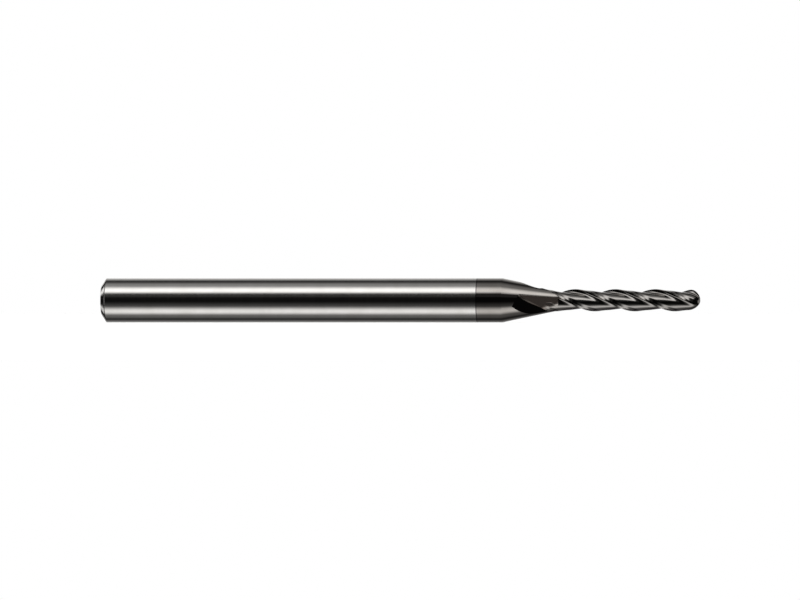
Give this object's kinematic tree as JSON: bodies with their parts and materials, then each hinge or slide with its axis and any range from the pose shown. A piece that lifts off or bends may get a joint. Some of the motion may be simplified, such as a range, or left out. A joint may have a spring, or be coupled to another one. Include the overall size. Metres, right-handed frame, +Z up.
{
  "type": "end mill",
  "caption": "Solid carbide ball nose end mill with a plain round shank, a taper neck and right-hand helical flutes, for milling curved surfaces.",
  "frame": {"origin": "centre of the flat rear face of the shank", "axes": "+X along the tool from the rear face towards the ball tip, +Z up"},
  "size_m": [0.0432, 0.0032, 0.0032],
  "materials": {
    "bare_carbide": "ground bare carbide, bright",
    "coating": "dark glossy hard coating on ground carbide"
  },
  "bodies": {
    "root": {"shank": "bare_carbide", "coated_band": "coating", "neck": "coating", "web_core": "coating", "tooth_1": "coating", "tooth_2": "coating", "tooth_3": "coating", "ball_core": "coating", "ball_tooth_1": "coating", "ball_tooth_2": "coating", "ball_tooth_3": "coating"}
  },
  "joints": []
}
